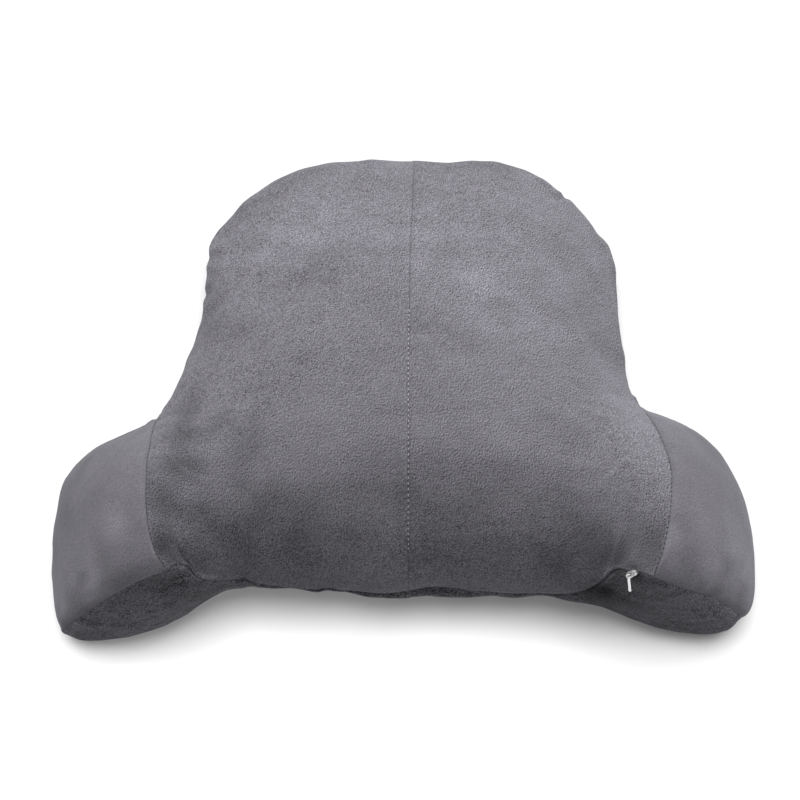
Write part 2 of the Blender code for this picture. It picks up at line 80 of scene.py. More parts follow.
# The seams of the stuffed cover in centimetres: across, along, up. Seams that meet share their end points.
seamRows = {
    "armLeft": [(-18.6, 0.2, 17.4), (-19.4, 1.5, 18.5), (-19.9, 3.2, 19.0), (-20.2, 5.1, 18.7),
                (-20.3, 7.3, 17.9), (-20.4, 9.1, 16.5), (-20.4, 11.0, 14.4), (-20.5, 12.7, 11.4),
                (-20.4, 14.2, 7.8)],
    "armRight": [(19.8, -0.4, 17.4), (20.5, 1.4, 18.5), (20.9, 3.5, 19.0), (21.2, 5.9, 18.7),
                 (21.4, 8.2, 17.9), (21.2, 10.0, 16.6), (20.9, 11.8, 14.6), (20.5, 13.4, 11.8),
                 (19.9, 15.3, 8.0)],
    "bottomLeft": [(-18.6, 0.2, 17.4), (-17.8, 0.8, 16.6), (-17.1, 0.8, 15.5), (-16.5, 0.2, 14.4),
                   (-15.2, 0.0, 12.7), (-13.3, 0.1, 10.8), (-11.0, -0.3, 9.7), (-7.4, -0.4, 9.0),
                   (-4.3, -0.6, 8.6), (-1.6, -0.8, 8.5), (0.5, -0.5, 8.5)],
    "bottomRight": [(19.8, -0.4, 17.4), (18.9, 0.0, 16.7), (18.0, 0.3, 16.0), (17.3, 0.7, 15.0),
                    (16.6, 0.5, 13.9), (15.8, -0.2, 12.3), (14.1, -0.8, 10.7), (11.5, -0.9, 9.5),
                    (8.1, -0.8, 8.8), (5.4, -0.4, 8.6), (2.6, -0.1, 8.5), (0.5, -0.5, 8.5)],
    "centre": [(0.5, -0.5, 8.5), (0.5, 0.0, 10.6), (0.5, 1.2, 12.9), (0.5, 3.2, 15.0), (0.5, 6.0, 16.5),
               (0.5, 9.5, 17.1), (0.5, 13.5, 16.9), (0.5, 18.0, 15.9), (0.6, 23.0, 14.2), (0.7, 28.0, 12.0),
               (0.9, 32.5, 9.4), (1.0, 35.9, 7.0), (1.1, 38.2, 4.5)],
    "domeSideLeft": [(-20.4, 14.2, 7.8), (-19.2, 17.7, 6.6), (-18.1, 20.8, 6.0), (-17.3, 24.1, 5.6),
                     (-17.2, 27.6, 5.2), (-16.9, 30.6, 4.8), (-15.3, 32.9, 4.5), (-13.2, 34.4, 4.5)],
    "domeSideRight": [(19.9, 15.3, 8.0), (19.3, 17.9, 6.8), (19.1, 20.8, 6.1), (19.0, 24.0, 5.7),
                      (18.9, 27.4, 5.3), (17.9, 30.8, 4.8), (15.4, 33.5, 4.5), (13.2, 34.95, 4.5)],
    "domeTopLeft": [(-13.2, 34.4, 4.5), (-11.0, 35.8, 4.5), (-8.7, 36.9, 4.5), (-5.4, 38.1, 4.5),
                    (-1.9, 38.4, 4.5), (1.1, 38.2, 4.5)],
    "domeTopRight": [(13.2, 34.95, 4.5), (11.6, 36.3, 4.5), (9.7, 37.6, 4.5), (6.9, 38.3, 4.5),
                     (4.2, 38.3, 4.5), (1.1, 38.2, 4.5)],
    "armUnderLeft": [(-18.6, 0.2, 17.4), (-21.8, -0.8, 15.0), (-25.2, -2.0, 10.6), (-27.7, -3.0, 6.4),
                     (-28.9, -3.3, 3.2)],
    "armUnderRight": [(19.8, -0.4, 17.4), (22.6, -0.9, 15.2), (25.8, -1.4, 11.0), (28.0, -2.1, 6.6),
                      (28.6, -2.2, 3.2)],
    "armOuterLeft": [(-28.9, -3.3, 3.2), (-29.3, -1.6, 3.2), (-29.4, 1.0, 3.2), (-29.2, 6.4, 3.5),
                     (-28.6, 9.5, 3.8), (-26.8, 11.9, 4.4), (-23.7, 13.0, 5.5), (-20.4, 14.2, 7.8)],
    "armOuterRight": [(28.6, -2.2, 3.2), (29.1, -1.2, 3.2), (29.1, 1.4, 3.2), (28.8, 7.0, 3.5),
                      (27.9, 10.3, 3.8), (25.9, 12.9, 4.5), (23.1, 14.3, 5.7), (19.9, 15.3, 8.0)],
    "backBottom": [(-28.9, -3.3, 3.2), (-27.5, -3.7, 3.0), (-25.6, -3.7, 2.9), (-23.0, -3.2, 2.8),
                   (-20.0, -2.2, 2.7), (-17.0, 0.1, 2.6), (-14.5, 1.8, 2.6), (-11.5, 2.2, 2.6),
                   (-8.0, 1.9, 2.6), (-4.0, 1.2, 2.6), (0.5, 0.7, 2.6), (5.0, 0.6, 2.6), (10.0, 1.0, 2.6),
                   (14.0, 1.1, 2.6), (17.0, -0.5, 2.6), (20.0, -2.1, 2.7), (23.0, -3.0, 2.8),
                   (26.0, -3.2, 2.9), (27.6, -2.9, 3.0), (28.6, -2.2, 3.2)],
}

# How finely the cloth is divided, and how it swells between its seams.
coverCut = {
    "halfAcross": 42,
    "armAlong": 38,
    "domeAlong": 48,
    "gussetAcross": 30,
    "crowding": 0.62,        # towards the seams: 0 not at all, 1 fully
    "lineSteps": 24,
    "domePlumpness": 2.4,    # power of the swell from the outline in to the centre seam
    "armShoulder": 1.6,      # power of the rounding of the arm's front
    "armShoulderLow": 1.0,   # the same at its bottom corner, where it is creased
    "armShoulderEnd": 0.40,  # how far up the panel the crease is gone
    "armFall": 2.7,          # power of its fall to the belly
    "seamGrip": 3.8,
    "armEndCrown": 1.2 * cm,
    "armEndRoundness": 0.4,
    "armEndFade": 0.6,       # how much of its length the crown needs to fade away to the neck
    "armEndFullest": 0.75,
    # the base's crown in centimetres: across, how full
    "baseFullness": [(-29, 2.4), (-25, 2.2), (-20, 1.4), (-16.5, 0.5), (-13, 0.1), (-9, 0.2), (-4, 0.4),
                     (0, 0.7), (4, 0.9), (8, 0.5), (12, 0.3), (16, 0.8), (20, 1.6), (25, 2.0), (29, 2.0)],
    "baseFullest": 0.8,
    "baseRoundness": 0.5,
    "backRounding": 4.6 * cm,  # how far in from its seams the back rolls down to the floor
    "rimSteps": 5,           # points to each stretch of the rim that it is measured from
    "easing": 12,
    "easingPower": 5.0,
    "backEasing": 90,
    "backEasingPower": 0.0,
    # hollows in the front beside the arms, in centimetres: across, along, reach both ways, depth
    "bellyFolds": [(-14.8, 1.0, 3.4, 4.0, 0.6), (15.0, 1.0, 3.4, 4.0, 0.8)],
    "fullFoldUp": 12.0 * cm,  # height from which they have their full depth
    "seamMerge": 0.05 * mm,  # points of two panels this near are one
}


def crowded(count):
    steps = np.linspace(0.0, 1.0, count + 1)
    return steps - coverCut["crowding"] * np.sin(2 * np.pi * steps) / (2 * np.pi)


def smoothLine(rows, fractions):
    # points at fractions of the length of a smooth curve through the rows
    knots = np.array(rows, float) * cm
    ends = 2 * knots[[0, -1]] - knots[[1, -2]]
    knots = np.vstack([ends[:1], knots, ends[1:]])
    t = np.linspace(0.0, 1.0, coverCut["lineSteps"], endpoint=False)[:, None]
    fine = [0.5 * (2 * b + (c - a) * t + (2 * a - 5 * b + 4 * c - d) * t**2 + (3 * b - 3 * c + d - a) * t**3)
            for a, b, c, d in zip(knots, knots[1:], knots[2:], knots[3:])]
    fine = np.vstack(fine + [knots[-2:-1]])
    run = np.concatenate([[0.0], np.cumsum(np.linalg.norm(np.diff(fine, axis=0), axis=1))])
    wanted = np.asarray(fractions) * run[-1]
    return np.column_stack([np.interp(wanted, run, fine[:, k]) for k in range(3)])


def panel(bottom, top, left, right, across, along, stuffed=False):
    # cloth between four seams; stuffing swells it inwards from a low side and rounds a high one
    flat = np.broadcast_to(across, (len(along), len(across)))
    swollen = 1 - (1 - flat) ** coverCut["domePlumpness"]
    creased = np.clip(1 - along / coverCut["armShoulderEnd"], 0, 1)[:, None]
    shoulder = coverCut["armShoulder"] + (coverCut["armShoulderLow"] - coverCut["armShoulder"]) * creased
    rounded = 1 - (1 - flat ** shoulder) ** coverCut["armFall"]
    full = np.where(left[:, None, 2] < right[:, None, 2], swollen, rounded)
    sheet = np.zeros((len(along), len(across), 3))
    for k in range(3):
        u = full if stuffed and k > 0 else flat
        grip = coverCut["seamGrip"] if stuffed and k == 2 else 1.0
        sides = (1 - u) * left[:, k, None] + u * right[:, k, None]
        lower = (1 - along[:, None]) ** grip
        upper = along[:, None] ** grip
        below = lower * (bottom[None, :, k] - sides[:1])
        above = upper * (top[None, :, k] - sides[-1:])
        sheet[:, :, k] = sides + below + above
    return sheet


def eased(sheet, along, power, times):
    # evens out a panel in plan, mostly towards its top, where the corners of the dome are blunt
    ease = along[1:-1, None, None] ** power
    for _ in range(times):
        near = sheet[:-2, 1:-1, :2] + sheet[2:, 1:-1, :2] + sheet[1:-1, :-2, :2] + sheet[1:-1, 2:, :2]
        sheet[1:-1, 1:-1, :2] += ease * (near / 4 - sheet[1:-1, 1:-1, :2])
    return sheet


def crown(sheet, across, along, rise, power):
    normals = np.cross(np.gradient(sheet, axis=1), np.gradient(sheet, axis=0))
    normals /= np.maximum(np.linalg.norm(normals, axis=2, keepdims=True), tiny)
    hump = (4 * across * (1 - across))[None, :] * (4 * along * (1 - along))[:, None]
    return sheet + normals * (np.clip(hump, 0, 1) ** power * rise)[:, :, None]


def settleOnBack(sheet):
    # rolls the back panel down from its seams to the floor, where it is flat
    rim = np.vstack([sheet[0], sheet[1:, -1], sheet[-1, ::-1], sheet[::-1, 0]])
    rim = np.vstack([rim[:-1] * (1 - t) + rim[1:] * t for t in np.linspace(0.0, 1.0, coverCut["rimSteps"])])
    inner = sheet[1:-1, 1:-1]
    flat = inner.reshape(-1, 3)
    inset = np.array([np.min(np.hypot(rim[:, 0] - p[0], rim[:, 1] - p[1])) for p in flat])
    share = np.minimum(inset / coverCut["backRounding"], 1.0)
    flat[:, 2] *= 1 - np.sqrt(1 - (1 - share) ** 2)
    sheet[1:-1, 1:-1] = flat.reshape(inner.shape)
    return sheet


def coverPanels():
    cut = coverCut
    across = crowded(cut["halfAcross"])
    whole = np.concatenate([across / 2, 1 - across[-2::-1] / 2])
    along = crowded(cut["armAlong"] + cut["domeAlong"])
    neck = along[cut["armAlong"]]
    upArm = along[: cut["armAlong"] + 1] / neck
    upDome = (along[cut["armAlong"]:] - neck) / (1 - neck)
    over = crowded(cut["gussetAcross"])
    centre = smoothLine(seamRows["centre"], along)
    panels, bottoms, tops, outers, unders = {}, {}, {}, {}, {}
    for side, outward in (("Left", -1), ("Right", 1)):
        arm = smoothLine(seamRows["arm" + side], upArm)
        flank = smoothLine(seamRows["domeSide" + side], upDome)
        edge = np.vstack([arm, flank[1:]])
        bottoms[side] = smoothLine(seamRows["bottom" + side], across)
        tops[side] = smoothLine(seamRows["domeTop" + side], across)
        front = panel(bottoms[side], tops[side], edge, centre, across, along, stuffed=True)
        panels["front" + side] = eased(front, along, cut["easingPower"], cut["easing"])
        rim = smoothLine(seamRows["armOuter" + side], upArm)
        unders[side] = smoothLine(seamRows["armUnder" + side], over)
        tip = np.repeat(arm[-1:], len(over), axis=0)
        armEnd = panel(unders[side], tip, arm, rim, over, upArm)
        rise = outward * cut["armEndCrown"] * np.clip((1 - upArm) / cut["armEndFade"], 0, 1)[:, None]
        fullest = upArm ** cut["armEndFullest"]
        panels["armEnd" + side] = crown(armEnd, over, fullest, rise, cut["armEndRoundness"])
        outers[side] = np.vstack([rim, flank[1:]])
    frontEdge = np.vstack([bottoms["Left"], bottoms["Right"][-2::-1]])
    backEdge = smoothLine(seamRows["backBottom"], whole)
    base = panel(frontEdge, backEdge, unders["Left"], unders["Right"], whole, over)
    full = smoothLine([(a, rise, 0) for a, rise in cut["baseFullness"]], np.linspace(0.0, 1.0, len(whole)))
    fullness = np.interp((frontEdge[:, 0] + backEdge[:, 0]) / 2, full[:, 0], full[:, 1])
    panels["base"] = crown(base, whole, over ** cut["baseFullest"], -fullness[None, :], cut["baseRoundness"])
    topEdge = np.vstack([tops["Left"], tops["Right"][-2::-1]])
    back = panel(backEdge, topEdge, outers["Left"], outers["Right"], whole, along)
    panels["back"] = settleOnBack(eased(back, along, cut["backEasingPower"], cut["backEasing"]))
    return panels


def placed(name, mesh):
    # the finished object of a bmesh
    data = bpy.data.meshes.new(name)
    mesh.to_mesh(data)
    mesh.free()
    thing = bpy.data.objects.new(name, data)
    bpy.context.scene.collection.objects.link(thing)
    return thing


def sewPanel(mesh, sheet, mark, number):
    rows, columns = sheet.shape[:2]
    made = bmesh.ops.create_grid(mesh, x_segments=columns - 1, y_segments=rows - 1, size=1.0)["verts"]
    for vertex in made:
        column = round((vertex.co.x + 1) / 2 * (columns - 1))
        row = round((vertex.co.y + 1) / 2 * (rows - 1))
        vertex.co = sheet[row, column]
    for face in {face for vertex in made for face in vertex.link_faces}:
        face[mark] = number


panelNames = ["frontLeft", "frontRight", "armEndLeft", "armEndRight", "base", "back"]


def sewCover():
    mesh = bmesh.new()
    mark = mesh.faces.layers.int.new("panel")
    panels = coverPanels()
    for number, name in enumerate(panelNames):
        sewPanel(mesh, panels[name], mark, number)
    for vertex in mesh.verts:
        x, y, z = vertex.co
        depth = sum(deep * cm * math.exp(-((x / cm - foldX) / reachX) ** 2 - ((y / cm - foldY) / reachY) ** 2)
                    for foldX, foldY, reachX, reachY, deep in coverCut["bellyFolds"])
        vertex.co.z = z - depth * min(z / coverCut["fullFoldUp"], 1.0)
    bmesh.ops.remove_doubles(mesh, verts=mesh.verts, dist=coverCut["seamMerge"])
    bmesh.ops.recalc_face_normals(mesh, faces=mesh.faces)
    bmesh.ops.translate(mesh, verts=mesh.verts, vec=-Vector(patternMiddle))
    return placed("cover", mesh)


def valuesOf(things, name, width, kind=float):
    # one row of values for each point, edge or face
    flat = np.zeros(len(things) * width, kind)
    things.foreach_get(name, flat)
    return flat.reshape(-1, width)


def pointsOf(data):
    return valuesOf(data.vertices, "co", 3)


def normalsOf(data):
    return valuesOf(data.vertices, "normal", 3)


def panelOfFaces(data):
    return valuesOf(data.attributes["panel"].data, "value", 1, np.int32).ravel()


def setPoints(data, points):
    data.vertices.foreach_set("co", points.astype(np.float32).ravel())
    data.update()


def evenedOut(data, values, times):
    # values at the points, each time averaged with those of the points next to them
    edges = valuesOf(data.edges, "vertices", 2, np.int32)
    count = np.bincount(edges.ravel(), minlength=len(values)).astype(float)[:, None]
    values = values.copy()
    for _ in range(times):
        total = np.zeros_like(values)
        np.add.at(total, edges[:, 0], values[edges[:, 1]])
        np.add.at(total, edges[:, 1], values[edges[:, 0]])
        values = 0.5 * values + 0.5 * total / count
    return values


def panelsAtPoints(data):
    # which panels meet at each point, one column for each panel
    totals = valuesOf(data.polygons, "loop_total", 1, np.int32).ravel()
    corners = valuesOf(data.loops, "vertex_index", 1, np.int32).ravel()
    touches = np.zeros((len(data.vertices), len(panelNames)), bool)
    touches[corners, np.repeat(panelOfFaces(data), totals)] = True
    return touches


# The cloth under the pressure of its stuffing. Seams take less length than the cloth beside them, so it
# gathers. Only the gathers are kept, because the pattern has the swelling already.
stuffing = {
    "slack": 3.0 * mm,       # how much smaller the cover starts
    "seamSlack": 0.3,        # the share of that at the seams
    "lyingBelow": 1.5 * mm,  # cloth lower than this lies on the floor and keeps its place
    "pressure": 4.0,
    "seamShrink": 0.03,
    "stiffness": 14.0,
    "bending": 0.35,
    "mass": 0.25,
    "quality": 6,
    "hold": 0.12,            # pull towards the pattern's own shape away from the seams
    "lastFrame": 20,
    "mostMove": 9.0 * mm,
    "evening": 60,           # how wide a move counts as swelling and not as a gather
    "keepGathers": 0.55,
}


def stuffCover(cover):
    data = cover.data
    rest = pointsOf(data)
    touches = panelsAtPoints(data)
    onSeam = touches.sum(axis=1) > 1
    lying = rest[:, 2] < stuffing["lyingBelow"]
    inset = np.where(onSeam, stuffing["seamSlack"], 1.0) * stuffing["slack"]
    inset[lying] = 0.0
    setPoints(data, rest - normalsOf(data) * inset[:, None])
    holdGroup = cover.vertex_groups.new(name="hold")
    shrinkGroup = cover.vertex_groups.new(name="shrink")
    for index in range(len(rest)):
        holdGroup.add([index], 1.0 if lying[index] else stuffing["hold"], "REPLACE")
        if onSeam[index]:
            shrinkGroup.add([index], 1.0, "REPLACE")
    modifier = cover.modifiers.new("stuffing", "CLOTH")
    cloth = modifier.settings
    cloth.quality = stuffing["quality"]
    cloth.mass = stuffing["mass"]
    cloth.tension_stiffness = cloth.compression_stiffness = stuffing["stiffness"]
    cloth.shear_stiffness = stuffing["stiffness"] / 2
    cloth.bending_stiffness = stuffing["bending"]
    cloth.use_pressure = True
    cloth.uniform_pressure_force = stuffing["pressure"]
    cloth.vertex_group_mass = "hold"
    cloth.vertex_group_shrink = "shrink"
    cloth.shrink_min = 0.0
    cloth.shrink_max = stuffing["seamShrink"]
    cloth.effector_weights.gravity = 0.0
    modifier.collision_settings.use_collision = False
    modifier.point_cache.frame_start = 1
    modifier.point_cache.frame_end = stuffing["lastFrame"]
    scene = bpy.context.scene
    for number in range(1, stuffing["lastFrame"] + 1):
        scene.frame_set(number)
    solved = cover.evaluated_get(bpy.context.evaluated_depsgraph_get())
    swollen = pointsOf(solved.to_mesh())
    solved.to_mesh_clear()
    cover.modifiers.remove(modifier)
    scene.frame_set(1)
    move = swollen - rest
    move = stuffing["keepGathers"] * (move - evenedOut(data, move, stuffing["evening"]))
    length = np.linalg.norm(move, axis=1, keepdims=True)
    print("stuffed: moved %.1f mm on average, %.1f mm at most" % (length.mean() / mm, length.max() / mm))
    move *= np.minimum(1.0, stuffing["mostMove"] / np.maximum(length, tiny))
    swollen = rest + move
    swollen[:, 2] = np.maximum(swollen[:, 2], 0.0)
    setPoints(data, swollen)


def subdivided(thing, levels):
    modifier = thing.modifiers.new("finer", "SUBSURF")
    modifier.levels = modifier.render_levels = levels
    solved = thing.evaluated_get(bpy.context.evaluated_depsgraph_get())
    data = bpy.data.meshes.new_from_object(solved)
    thing.modifiers.remove(modifier)
    old = thing.data
    thing.data = data
    bpy.data.meshes.remove(old)


def seamLines(data):
    # the points along every seam, in order, keyed by the two panels that it joins
    mesh = bmesh.new()
    mesh.from_mesh(data)
    mark = mesh.faces.layers.int["panel"]
    pairs = {}
    for edge in mesh.edges:
        met = sorted({face[mark] for face in edge.link_faces})
        if len(met) == 2:
            pairs.setdefault((panelNames[met[0]], panelNames[met[1]]), []).append(edge)
    lines = {}
    for pair, edges in pairs.items():
        beside = {}
        for edge in edges:
            for a, b in (edge.verts, reversed(edge.verts)):
                beside.setdefault(a.index, []).append(b.index)
        ends = [index for index, near in beside.items() if len(near) == 1]
        lowest = min(ends, key=lambda index: data.vertices[index].co.y)
        order, last = [lowest], None
        while True:
            onward = [index for index in beside[order[-1]] if index != last]
            if not onward:
                break
            last = order[-1]
            order.append(onward[0])
        lines[pair] = np.array([data.vertices[index].co for index in order])
    mesh.free()
    return lines


def stepped(line, step):
    # points an even step apart along a line, and how far along it each is
    run = np.concatenate([[0.0], np.cumsum(np.linalg.norm(np.diff(line, axis=0), axis=1))])
    wanted = np.arange(0.0, run[-1], step)
    return np.column_stack([np.interp(wanted, run, line[:, k]) for k in range(3)]), wanted


# Each seam in millimetres: its groove's depth and width, the waves of the seam itself, the height and pitch
# of the gathers beside it, and how far the cloth rounds down to it. The shade is how much darker the pile is
# painted along the seam: painted shade in its groove.
seamLook = {
    "centre": {"groove": 0.25, "width": 0.9, "wave": 0.0, "gather": 0.15, "pitch": 14.0, "roll": 0.15,
               "shade": 0.84},
    "arm": {"groove": 0.22, "width": 0.9, "wave": 0.2, "gather": 0.30, "pitch": 16.0, "roll": 0.12,
            "shade": 0.62},
    "armBase": {"groove": 0.50, "width": 1.2, "wave": 0.3, "gather": 0.40, "pitch": 18.0, "roll": 0.30,
                "shade": 0.70},
    "bottom": {"groove": 1.40, "width": 1.8, "wave": 0.5, "gather": 0.70, "pitch": 22.0, "roll": 1.20,
               "shade": 0.80},
    "back": {"groove": 1.20, "width": 1.5, "wave": 0.8, "gather": 0.80, "pitch": 20.0, "roll": 0.90,
             "shade": 0.75},
}
seamKind = {
    ("frontLeft", "frontRight"): "centre",
    ("frontLeft", "armEndLeft"): "arm", ("frontRight", "armEndRight"): "arm",
    ("armEndLeft", "base"): "armBase", ("armEndRight", "base"): "armBase",
    ("frontLeft", "base"): "bottom", ("frontRight", "base"): "bottom",
    ("frontLeft", "back"): "back", ("frontRight", "back"): "back",
    ("armEndLeft", "back"): "back", ("armEndRight", "back"): "back", ("base", "back"): "back",
}
seamReach = {
    "sample": 0.4 * mm,
    "gatherPeak": 7.0 * mm,    # distance from the seam at which the gathers stand highest
    "gatherLengthening": 3.0,  # how much longer than wide they are
    "waveLengthening": 1.6,    # how much longer than the gathers a seam's waves are
    "waveReach": 13.0 * mm,
    "rollReach": 7.0 * mm,
    "farthest": 45.0 * mm,
    "shadeWidth": 1.6 * mm,
    "lipAway": 2.4 * mm,       # distance from the bottom seam of the highlight painted on the front's rolled edge
    "lipWidth": 0.9 * mm,
    "paintedLipHighlight": 0.45,
    "floorFade": 2.0 * cm,     # height below which the relief fades away to the floor
}
# How far apart in the noise the seams, the panels and the seams' waves are, so that none repeats another.
noiseApart = {"seam": 7.3, "panel": 3.1, "seamWave": 5.7, "wave": 0.5}

# The unevenness of the stuffing: wavelength, height and a start for its noise, in millimetres.
lumps = [(95.0, 1.5, 3.0), (42.0, 0.5, 11.0), (14.0, 0.12, 23.0)]

# Single creases in the cloth: the panels they cross, their depth, their width and the height of their lip in
# millimetres, and their line in centimetres from the middle of the frame.
creases = [
    (("frontRight", "back"), 2.4, 2.2, 1.2, [(11.4, 19.0), (12.2, 18.4), (12.9, 17.7), (13.4, 16.8)]),
    (("frontRight", "back"), 3.4, 3.0, 1.0, [(13.0, 16.6), (13.7, 17.0), (14.6, 17.4)]),
    (("frontRight",), 0.7, 1.8, 0.4, [(8.72, 20.11), (9.72, 18.81)]),
    (("frontRight",), 0.5, 1.6, 0.3, [(7.72, 19.71), (7.82, 18.61)]),
    (("frontLeft", "back"), 1.2, 5.0, 1.2, [(-17.68, 12.51), (-16.68, 11.81), (-15.28, 11.41)]),
    (("frontLeft", "back"), 0.9, 5.0, 1.0, [(-18.08, 9.11), (-16.98, 8.51), (-15.98, 8.11)]),
    (("frontLeft", "base"), 2.6, 2.4, 1.0, [(-13.68, -16.79), (-12.98, -17.09), (-12.08, -17.39)]),
    (("frontLeft", "base"), 2.2, 2.2, 0.8, [(-8.08, -17.39), (-6.78, -17.49), (-5.38, -17.79)]),
    (("base",), 1.8, 2.0, 0.2,
     [(-17.5, -16.3), (-16.9, -16.8), (-16.1, -17.2), (-15.0, -17.5), (-14.2, -17.6)]),
    (("base",), 1.6, 2.0, 0.2, [(18.2, -16.6), (17.2, -16.7), (16.4, -17.2), (15.7, -17.7)]),
    (("base",), 0.9, 2.0, 0.5, [(-19.38, -18.29), (-18.48, -18.39), (-17.58, -18.39)]),
    (("base",), 0.9, 2.2, 0.5, [(-19.48, -19.79), (-18.08, -19.39), (-16.98, -18.79)]),
    (("base",), 0.8, 2.2, 0.7, [(19.12, -18.29), (17.92, -18.49), (16.72, -18.79)]),
]

# The lip stands lipAway widths from the crease. The painted shade in a crease is a dark line shadeWidth times
# as wide as its hollow, and its ends keep a little of its depth.
creaseLook = {"lipAway": 1.6, "shade": 0.55, "shadeWidth": 0.6, "endFade": 0.08}

# Painted light and shade, and patches of nap laid the other way: panels, middle and reach in centimetres,
# turn in degrees, and how much lighter it is there.
lightShadeAndNapStrokes = [
    (("frontLeft",), (-18.0, -2.5), (2.4, 3.4), 0.0, -0.15),
    (("frontLeft",), (-18.9, -15.9), (1.5, 1.4), 0.0, -0.50),
    (("frontLeft",), (-15.6, -16.7), (2.2, 0.9), -10.0, -0.26),
    (("frontLeft",), (-13.6, 16.8), (3.2, 1.6), 40.0, -0.16),
    (("frontLeft",), (-16.6, 5.6), (1.8, 3.0), 0.0, -0.12),
    (("frontLeft",), (-10.0, -6.5), (3.6, 2.2), 0.0, -0.14),
    (("frontLeft",), (-18.3, -11.6), (3.4, 6.4), 0.0, -0.32),
    (("frontLeft",), (-16.2, -4.8), (3.0, 3.4), 0.0, -0.24),
    (("frontLeft",), (-13.6, -7.4), (4.2, 4.0), 30.0, -0.16),
    (("frontLeft",), (-13.7, -10.7), (4.2, 3.2), 20.0, -0.18),
    (("frontLeft",), (-9.1, -14.6), (8.0, 2.2), 0.0, -0.20),
    (("frontLeft",), (-12.7, 10.0), (4.6, 3.8), 15.0, 0.17),
    (("frontLeft",), (-6.9, 13.6), (5.0, 2.2), 12.0, 0.10),
    (("frontLeft",), (-9.3, 19.2), (6.0, 1.8), 25.0, -0.14),
    (("frontLeft",), (-8.6, 7.8), (4.0, 1.3), 15.0, -0.12),
    (("frontLeft",), (-14.3, 4.1), (3.2, 1.4), -20.0, -0.14),
    (("frontLeft",), (-15.1, -0.4), (2.6, 1.6), -20.0, 0.08),
    (("frontLeft",), (-8.5, -6.6), (5.0, 1.5), -15.0, 0.10),
    (("frontRight",), (16.1, -6.4), (2.2, 2.6), 0.0, -0.14),
    (("frontRight",), (13.6, -15.6), (3.6, 2.0), 10.0, -0.22),
    (("frontRight",), (18.3, -15.7), (2.6, 1.7), 30.0, -0.42),
    (("frontRight",), (4.9, -14.6), (7.0, 2.0), 0.0, -0.08),
    (("frontRight",), (13.9, -4.2), (5.0, 2.6), -10.0, -0.10),
    (("frontRight",), (8.7, 5.4), (3.6, 2.0), -35.0, 0.14),
    (("frontRight",), (16.7, 9.8), (1.8, 4.0), 0.0, 0.12),
    (("frontRight",), (8.3, 20.6), (7.0, 1.4), 0.0, -0.22),
    (("frontRight",), (12.9, 3.2), (3.5, 1.8), -15.0, 0.08),
    (("frontRight",), (7.1, -6.2), (4.4, 1.7), -10.0, 0.10),
    (("frontRight",), (17.5, -5.8), (2.4, 3.4), 0.0, 0.08),
    (("frontLeft", "frontRight"), (-0.1, -10.6), (11.0, 2.6), 4.0, -0.16),
    (("frontLeft", "frontRight"), (6.4, 9.8), (9.5, 5.5), -8.0, 0.17),
    (("frontLeft", "frontRight"), (3.2, 3.2), (5.0, 1.3), -25.0, -0.10),
    (("armEndLeft",), (-22.6, -13.0), (1.8, 2.6), 0.0, 0.20),
    (("armEndLeft",), (-26.4, -8.6), (3.6, 5.4), 0.0, -0.18),
    (("armEndLeft",), (-22.4, -15.8), (2.8, 2.4), 0.0, 0.24),
    (("armEndLeft",), (-19.8, -16.4), (1.6, 1.6), 0.0, 0.34),
    (("armEndLeft",), (-26.2, -18.2), (3.0, 2.0), 0.0, 0.28),
    (("armEndLeft",), (-25.0, -14.4), (0.7, 3.2), 6.0, 0.09),
    (("armEndLeft",), (-22.7, -12.0), (0.9, 2.4), -8.0, 0.07),
    (("armEndRight",), (28.0, -13.0), (1.8, 4.0), 0.0, 0.16),
    (("armEndRight",), (24.6, -16.4), (4.6, 2.8), -20.0, 0.26),
    (("armEndRight",), (21.4, -15.2), (1.5, 2.8), 0.0, 0.36),
    (("armEndRight",), (26.5, -5.4), (3.6, 4.2), 0.0, -0.18),
    (("armEndRight",), (23.8, -12.6), (0.8, 3.2), -6.0, 0.07),
    (("base",), (17.0, -17.6), (3.0, 1.9), -20.0, -0.72),
    (("base",), (-16.4, -17.8), (3.2, 1.3), -20.0, -0.32),
    (("base",), (-18.5, -18.4), (3.6, 1.5), 0.0, -0.24),
]
strokeWaver = {"wavelength": 24.0 * mm, "share": 0.5}  # how unevenly each stroke lies


def treeOf(points):
    tree = KDTree(len(points))
    for index, point in enumerate(points):
        tree.insert(point, index)
    tree.balance()
    return tree


def touching(touches, names):
    # whether each point lies on one of the named panels
    return touches[:, [panelNames.index(name) for name in names]].any(axis=1)


